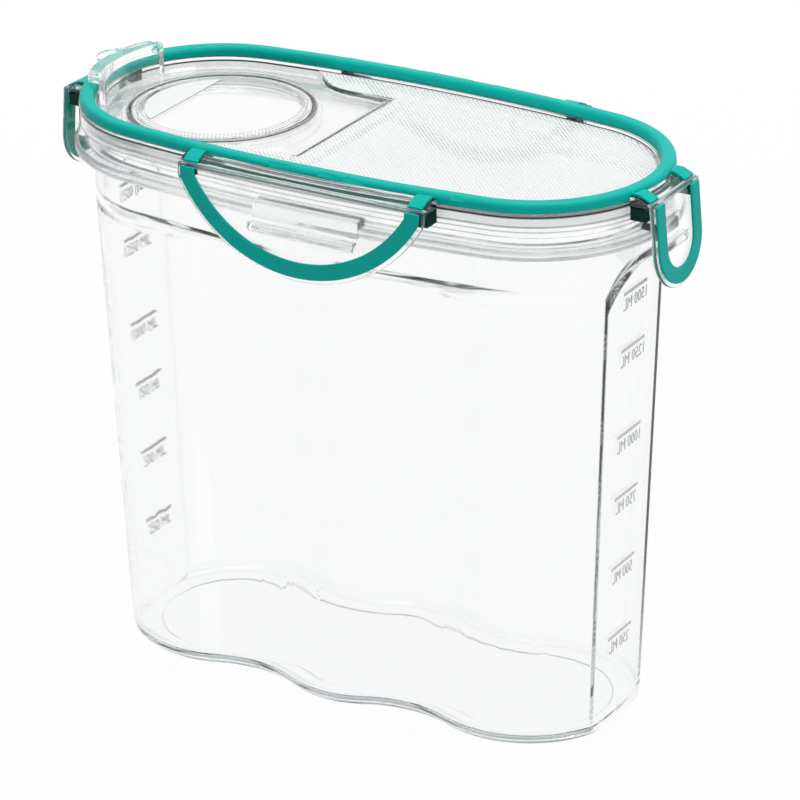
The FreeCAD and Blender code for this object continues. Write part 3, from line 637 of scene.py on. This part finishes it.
class CONTAINER_OT_stage(bpy.types.Operator):
    """White floor, soft light and the camera"""
    bl_idname = "container.stage"
    bl_label = "Stage"

    def seen(self, tree):
        """One for the rays that show the background: camera, mirror and see-through rays."""
        path = add_node(tree, "ShaderNodeLightPath")
        shown = add_node(tree, "ShaderNodeMath", {0: path.outputs["Is Camera Ray"],
                                                  1: path.outputs["Is Glossy Ray"]}, operation="MAXIMUM")
        return add_node(tree, "ShaderNodeMath", {0: shown.outputs["Value"],
                                                 1: path.outputs["Is Transmission Ray"]}, operation="MAXIMUM")

    def floor_material(self, colours):
        """Painted studio floor: white, faintly glossy, fading to plain white away from the object."""
        material, tree, place = start_material("studio_floor_white_paint")
        away = add_node(tree, "ShaderNodeVectorMath", {0: place}, operation="LENGTH")
        fade = add_node(tree, "ShaderNodeMapRange",
                        {"Value": away.outputs["Value"], "From Min": FADE_NEAR, "From Max": FADE_FAR,
                         "To Min": FLOOR_WHITE, "To Max": 1.0})
        share = add_node(tree, "ShaderNodeMath",
                         {0: fade.outputs["Result"], 1: self.seen(tree).outputs["Value"]},
                         operation="MULTIPLY")
        paint = add_node(tree, "ShaderNodeBsdfPrincipled", {"Base Color": colours.floor, "Roughness": 0.2})
        glow = add_node(tree, "ShaderNodeEmission", {"Color": WHITE, "Strength": 1.0})
        mixed = add_node(tree, "ShaderNodeMixShader", {0: share.outputs["Value"], 1: paint.outputs["BSDF"],
                                                       2: glow.outputs["Emission"]})
        add_node(tree, "ShaderNodeOutputMaterial", {"Surface": mixed.outputs["Shader"]})
        return material

    def light_world(self, world):
        """Soft light from all round, and the white that camera, mirror and see-through rays meet."""
        world.use_nodes = True
        tree = world.node_tree
        tree.nodes.clear()
        way = add_node(tree, "ShaderNodeTexCoord").outputs["Generated"]
        axes = add_node(tree, "ShaderNodeSeparateXYZ", {"Vector": way})
        up = add_node(tree, "ShaderNodeMapRange",
                      {"Value": axes.outputs["Z"], "From Min": 0.1, "From Max": 0.75,
                       "To Min": 1.0, "To Max": ZENITH_WHITE})
        path = add_node(tree, "ShaderNodeLightPath")
        backdrop = add_node(tree, "ShaderNodeMath",
                            {0: up.outputs["Result"], 1: path.outputs["Is Camera Ray"]}, operation="MAXIMUM")
        light = add_node(tree, "ShaderNodeBackground", {"Color": WHITE, "Strength": ROUND_LIGHT})
        white = add_node(tree, "ShaderNodeBackground", {"Color": WHITE,
                                                        "Strength": backdrop.outputs["Value"]})
        mixed = add_node(tree, "ShaderNodeMixShader", {0: self.seen(tree).outputs["Value"],
                                                       1: light.outputs["Background"],
                                                       2: white.outputs["Background"]})
        add_node(tree, "ShaderNodeOutputWorld", {"Surface": mixed.outputs["Shader"]})

    def execute(self, context):
        scene = context.scene
        scene.view_settings.view_transform = "Standard"
        scene.cycles.max_bounces = LIGHT_BOUNCES
        scene.cycles.transmission_bounces = LIGHT_BOUNCES
        scene.cycles.glossy_bounces = LIGHT_BOUNCES
        bm = bmesh.new()
        bmesh.ops.create_grid(bm, x_segments=1, y_segments=1, size=FLOOR_HALF)
        data = bpy.data.meshes.new("studio_floor")
        bm.to_mesh(data)
        bm.free()
        data.materials.append(self.floor_material(scene.container_colours))
        floor = bpy.data.objects.new("studio_floor", data)
        scene.collection.objects.link(floor)
        scene.world = bpy.data.worlds.new("studio_light")
        self.light_world(scene.world)
        for name, (spot, size, power) in LAMPS.items():
            lamp = bpy.data.lights.new(name, "AREA")
            lamp.shape = "DISK"
            lamp.size = size
            lamp.energy = power
            holder = bpy.data.objects.new(name, lamp)
            holder.location = spot
            holder.rotation_euler = (LAMP_TARGET - holder.location).to_track_quat("-Z", "Y").to_euler()
            scene.collection.objects.link(holder)
        view = bpy.data.cameras.new("camera")
        view.sensor_width = 36.0
        view.lens = CAMERA_LENS
        view.clip_start = 0.05
        camera = bpy.data.objects.new("camera", view)
        turn = Matrix((CAMERA_RIGHT, CAMERA_BACK.cross(CAMERA_RIGHT), CAMERA_BACK)).transposed().to_4x4()
        camera.matrix_world = Matrix.Translation(CAMERA_PLACE) @ turn
        scene.collection.objects.link(camera)
        scene.camera = camera
        return {"FINISHED"}


class CONTAINER_PT_panel(bpy.types.Panel):
    """Steps, sizes and colours of the container"""
    bl_idname = "CONTAINER_PT_panel"
    bl_label = "Storage container"
    bl_space_type = "VIEW_3D"
    bl_region_type = "UI"
    bl_category = "Container"

    def draw(self, context):
        for step in STEPS:
            self.layout.operator(step.bl_idname)
        for group in (context.scene.container_sizes, context.scene.container_colours):
            for name in group.__annotations__:
                self.layout.prop(group, name)


STEPS = (CONTAINER_OT_stage, CONTAINER_OT_body, CONTAINER_OT_marks, CONTAINER_OT_lid, CONTAINER_OT_texture,
         CONTAINER_OT_wings, CONTAINER_OT_flap)
CLASSES = (ContainerSizes, ContainerColours, *STEPS, CONTAINER_PT_panel)


def register():
    for cls in CLASSES:
        bpy.utils.register_class(cls)
    bpy.types.Scene.container_sizes = bpy.props.PointerProperty(type=ContainerSizes)
    bpy.types.Scene.container_colours = bpy.props.PointerProperty(type=ContainerColours)


def unregister():
    del bpy.types.Scene.container_colours
    del bpy.types.Scene.container_sizes
    for cls in reversed(CLASSES):
        bpy.utils.unregister_class(cls)


def main():
    register()
    bpy.ops.container.stage()
    bpy.ops.container.body()
    bpy.ops.container.marks()
    bpy.ops.container.lid()
    bpy.ops.container.texture()
    bpy.ops.container.wings()
    bpy.ops.container.flap()


if __name__ == "__main__":
    main()
